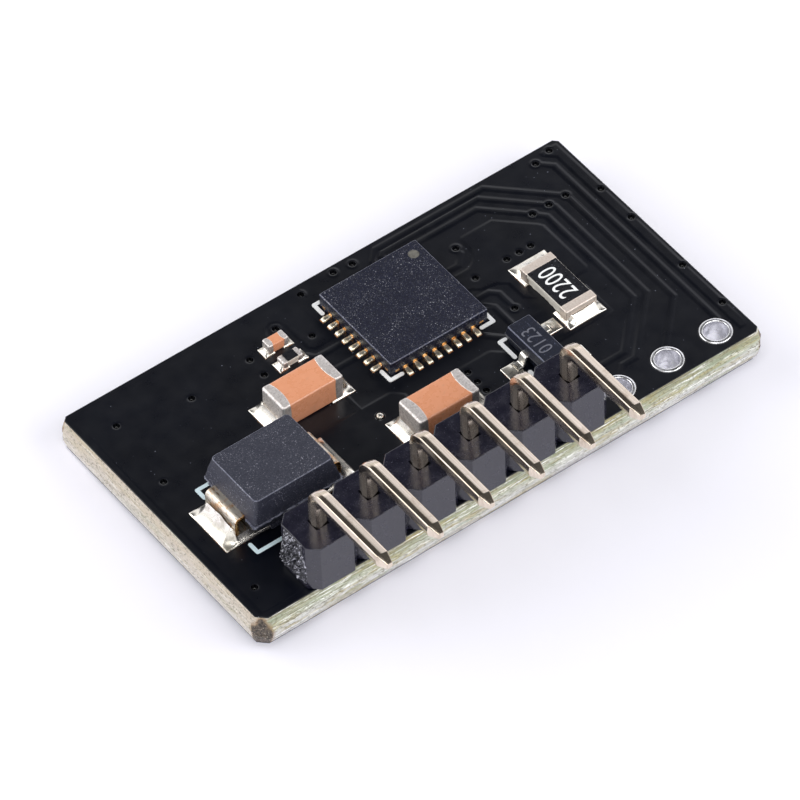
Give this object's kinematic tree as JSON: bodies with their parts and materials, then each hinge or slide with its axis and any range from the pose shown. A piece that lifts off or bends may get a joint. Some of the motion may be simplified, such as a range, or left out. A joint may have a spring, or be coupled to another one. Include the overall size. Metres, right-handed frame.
{
  "type": "power over ethernet module",
  "caption": "Small black circuit module with a right-angled pin header, a leadless controller, chip capacitors, resistors, a surge diode and open plated holes.",
  "frame": {"origin": "centre of the board's underside", "axes": "+X along the row of holes, +Z out of the component side; the bent pins reach out towards -Y"},
  "size_m": [0.026, 0.0179, 0.007],
  "materials": {
    "glass_epoxy": "rough snapped edge",
    "solder_mask": "satin black",
    "copper": "plain",
    "tin": "bright tin",
    "solder": "bright solder",
    "white_ink": "printed ink",
    "header_plastic": "satin",
    "pin_metal": "tin plate",
    "mould_compound": "fine speckle",
    "orange_ceramic": "fired ceramic",
    "terminal_metal": "matte tin",
    "alumina": "fired ceramic",
    "black_overcoat": "gloss",
    "lead_metal": "tin plate"
  },
  "bodies": {
    "root": {"barrel_plating": "tin", "board_laminate": "glass_epoxy", "controller_leadframe": "copper", "controller_package": "mould_compound", "controller_solder": "solder", "copper_tracks": "copper", "filled_via_solder": "solder", "header_housing": "header_plastic", "header_pin_1": "pin_metal", "header_pin_2": "pin_metal", "header_pin_3": "pin_metal", "header_pin_4": "pin_metal", "header_pin_5": "pin_metal", "header_pin_6": "pin_metal", "header_pin_solder": "solder", "left_capacitor_ceramic": "orange_ceramic", "left_capacitor_solder": "solder", "left_capacitor_terminal_left": "terminal_metal", "left_capacitor_terminal_right": "terminal_metal", "legend_ink": "white_ink", "right_capacitor_ceramic": "orange_ceramic", "right_capacitor_solder": "solder", "right_capacitor_terminal_left": "terminal_metal", "right_capacitor_terminal_right": "terminal_metal", "sense_resistor_overcoat": "black_overcoat", "sense_resistor_solder": "solder", "sense_resistor_substrate": "alumina", "sense_resistor_terminal_back": "terminal_metal", "sense_resistor_terminal_front": "terminal_metal", "small_capacitor_ceramic": "orange_ceramic", "small_capacitor_solder": "solder", "small_capacitor_terminal_left": "terminal_metal", "small_capacitor_terminal_right": "terminal_metal", "small_resistor_overcoat": "black_overcoat", "small_resistor_solder": "solder", "small_resistor_substrate": "alumina", "small_resistor_terminal_left": "terminal_metal", "small_resistor_terminal_right": "terminal_metal", "solder_mask_top": "solder_mask", "solder_mask_underside": "solder_mask", "surge_diode_lead_left": "lead_metal", "surge_diode_lead_right": "lead_metal", "surge_diode_package": "mould_compound", "surge_diode_solder": "solder", "transistor_lead_left": "lead_metal", "transistor_lead_right_back": "lead_metal", "transistor_lead_right_front": "lead_metal", "transistor_package": "mould_compound", "transistor_solder": "solder", "via_barrels": "copper"}
  },
  "joints": []
}
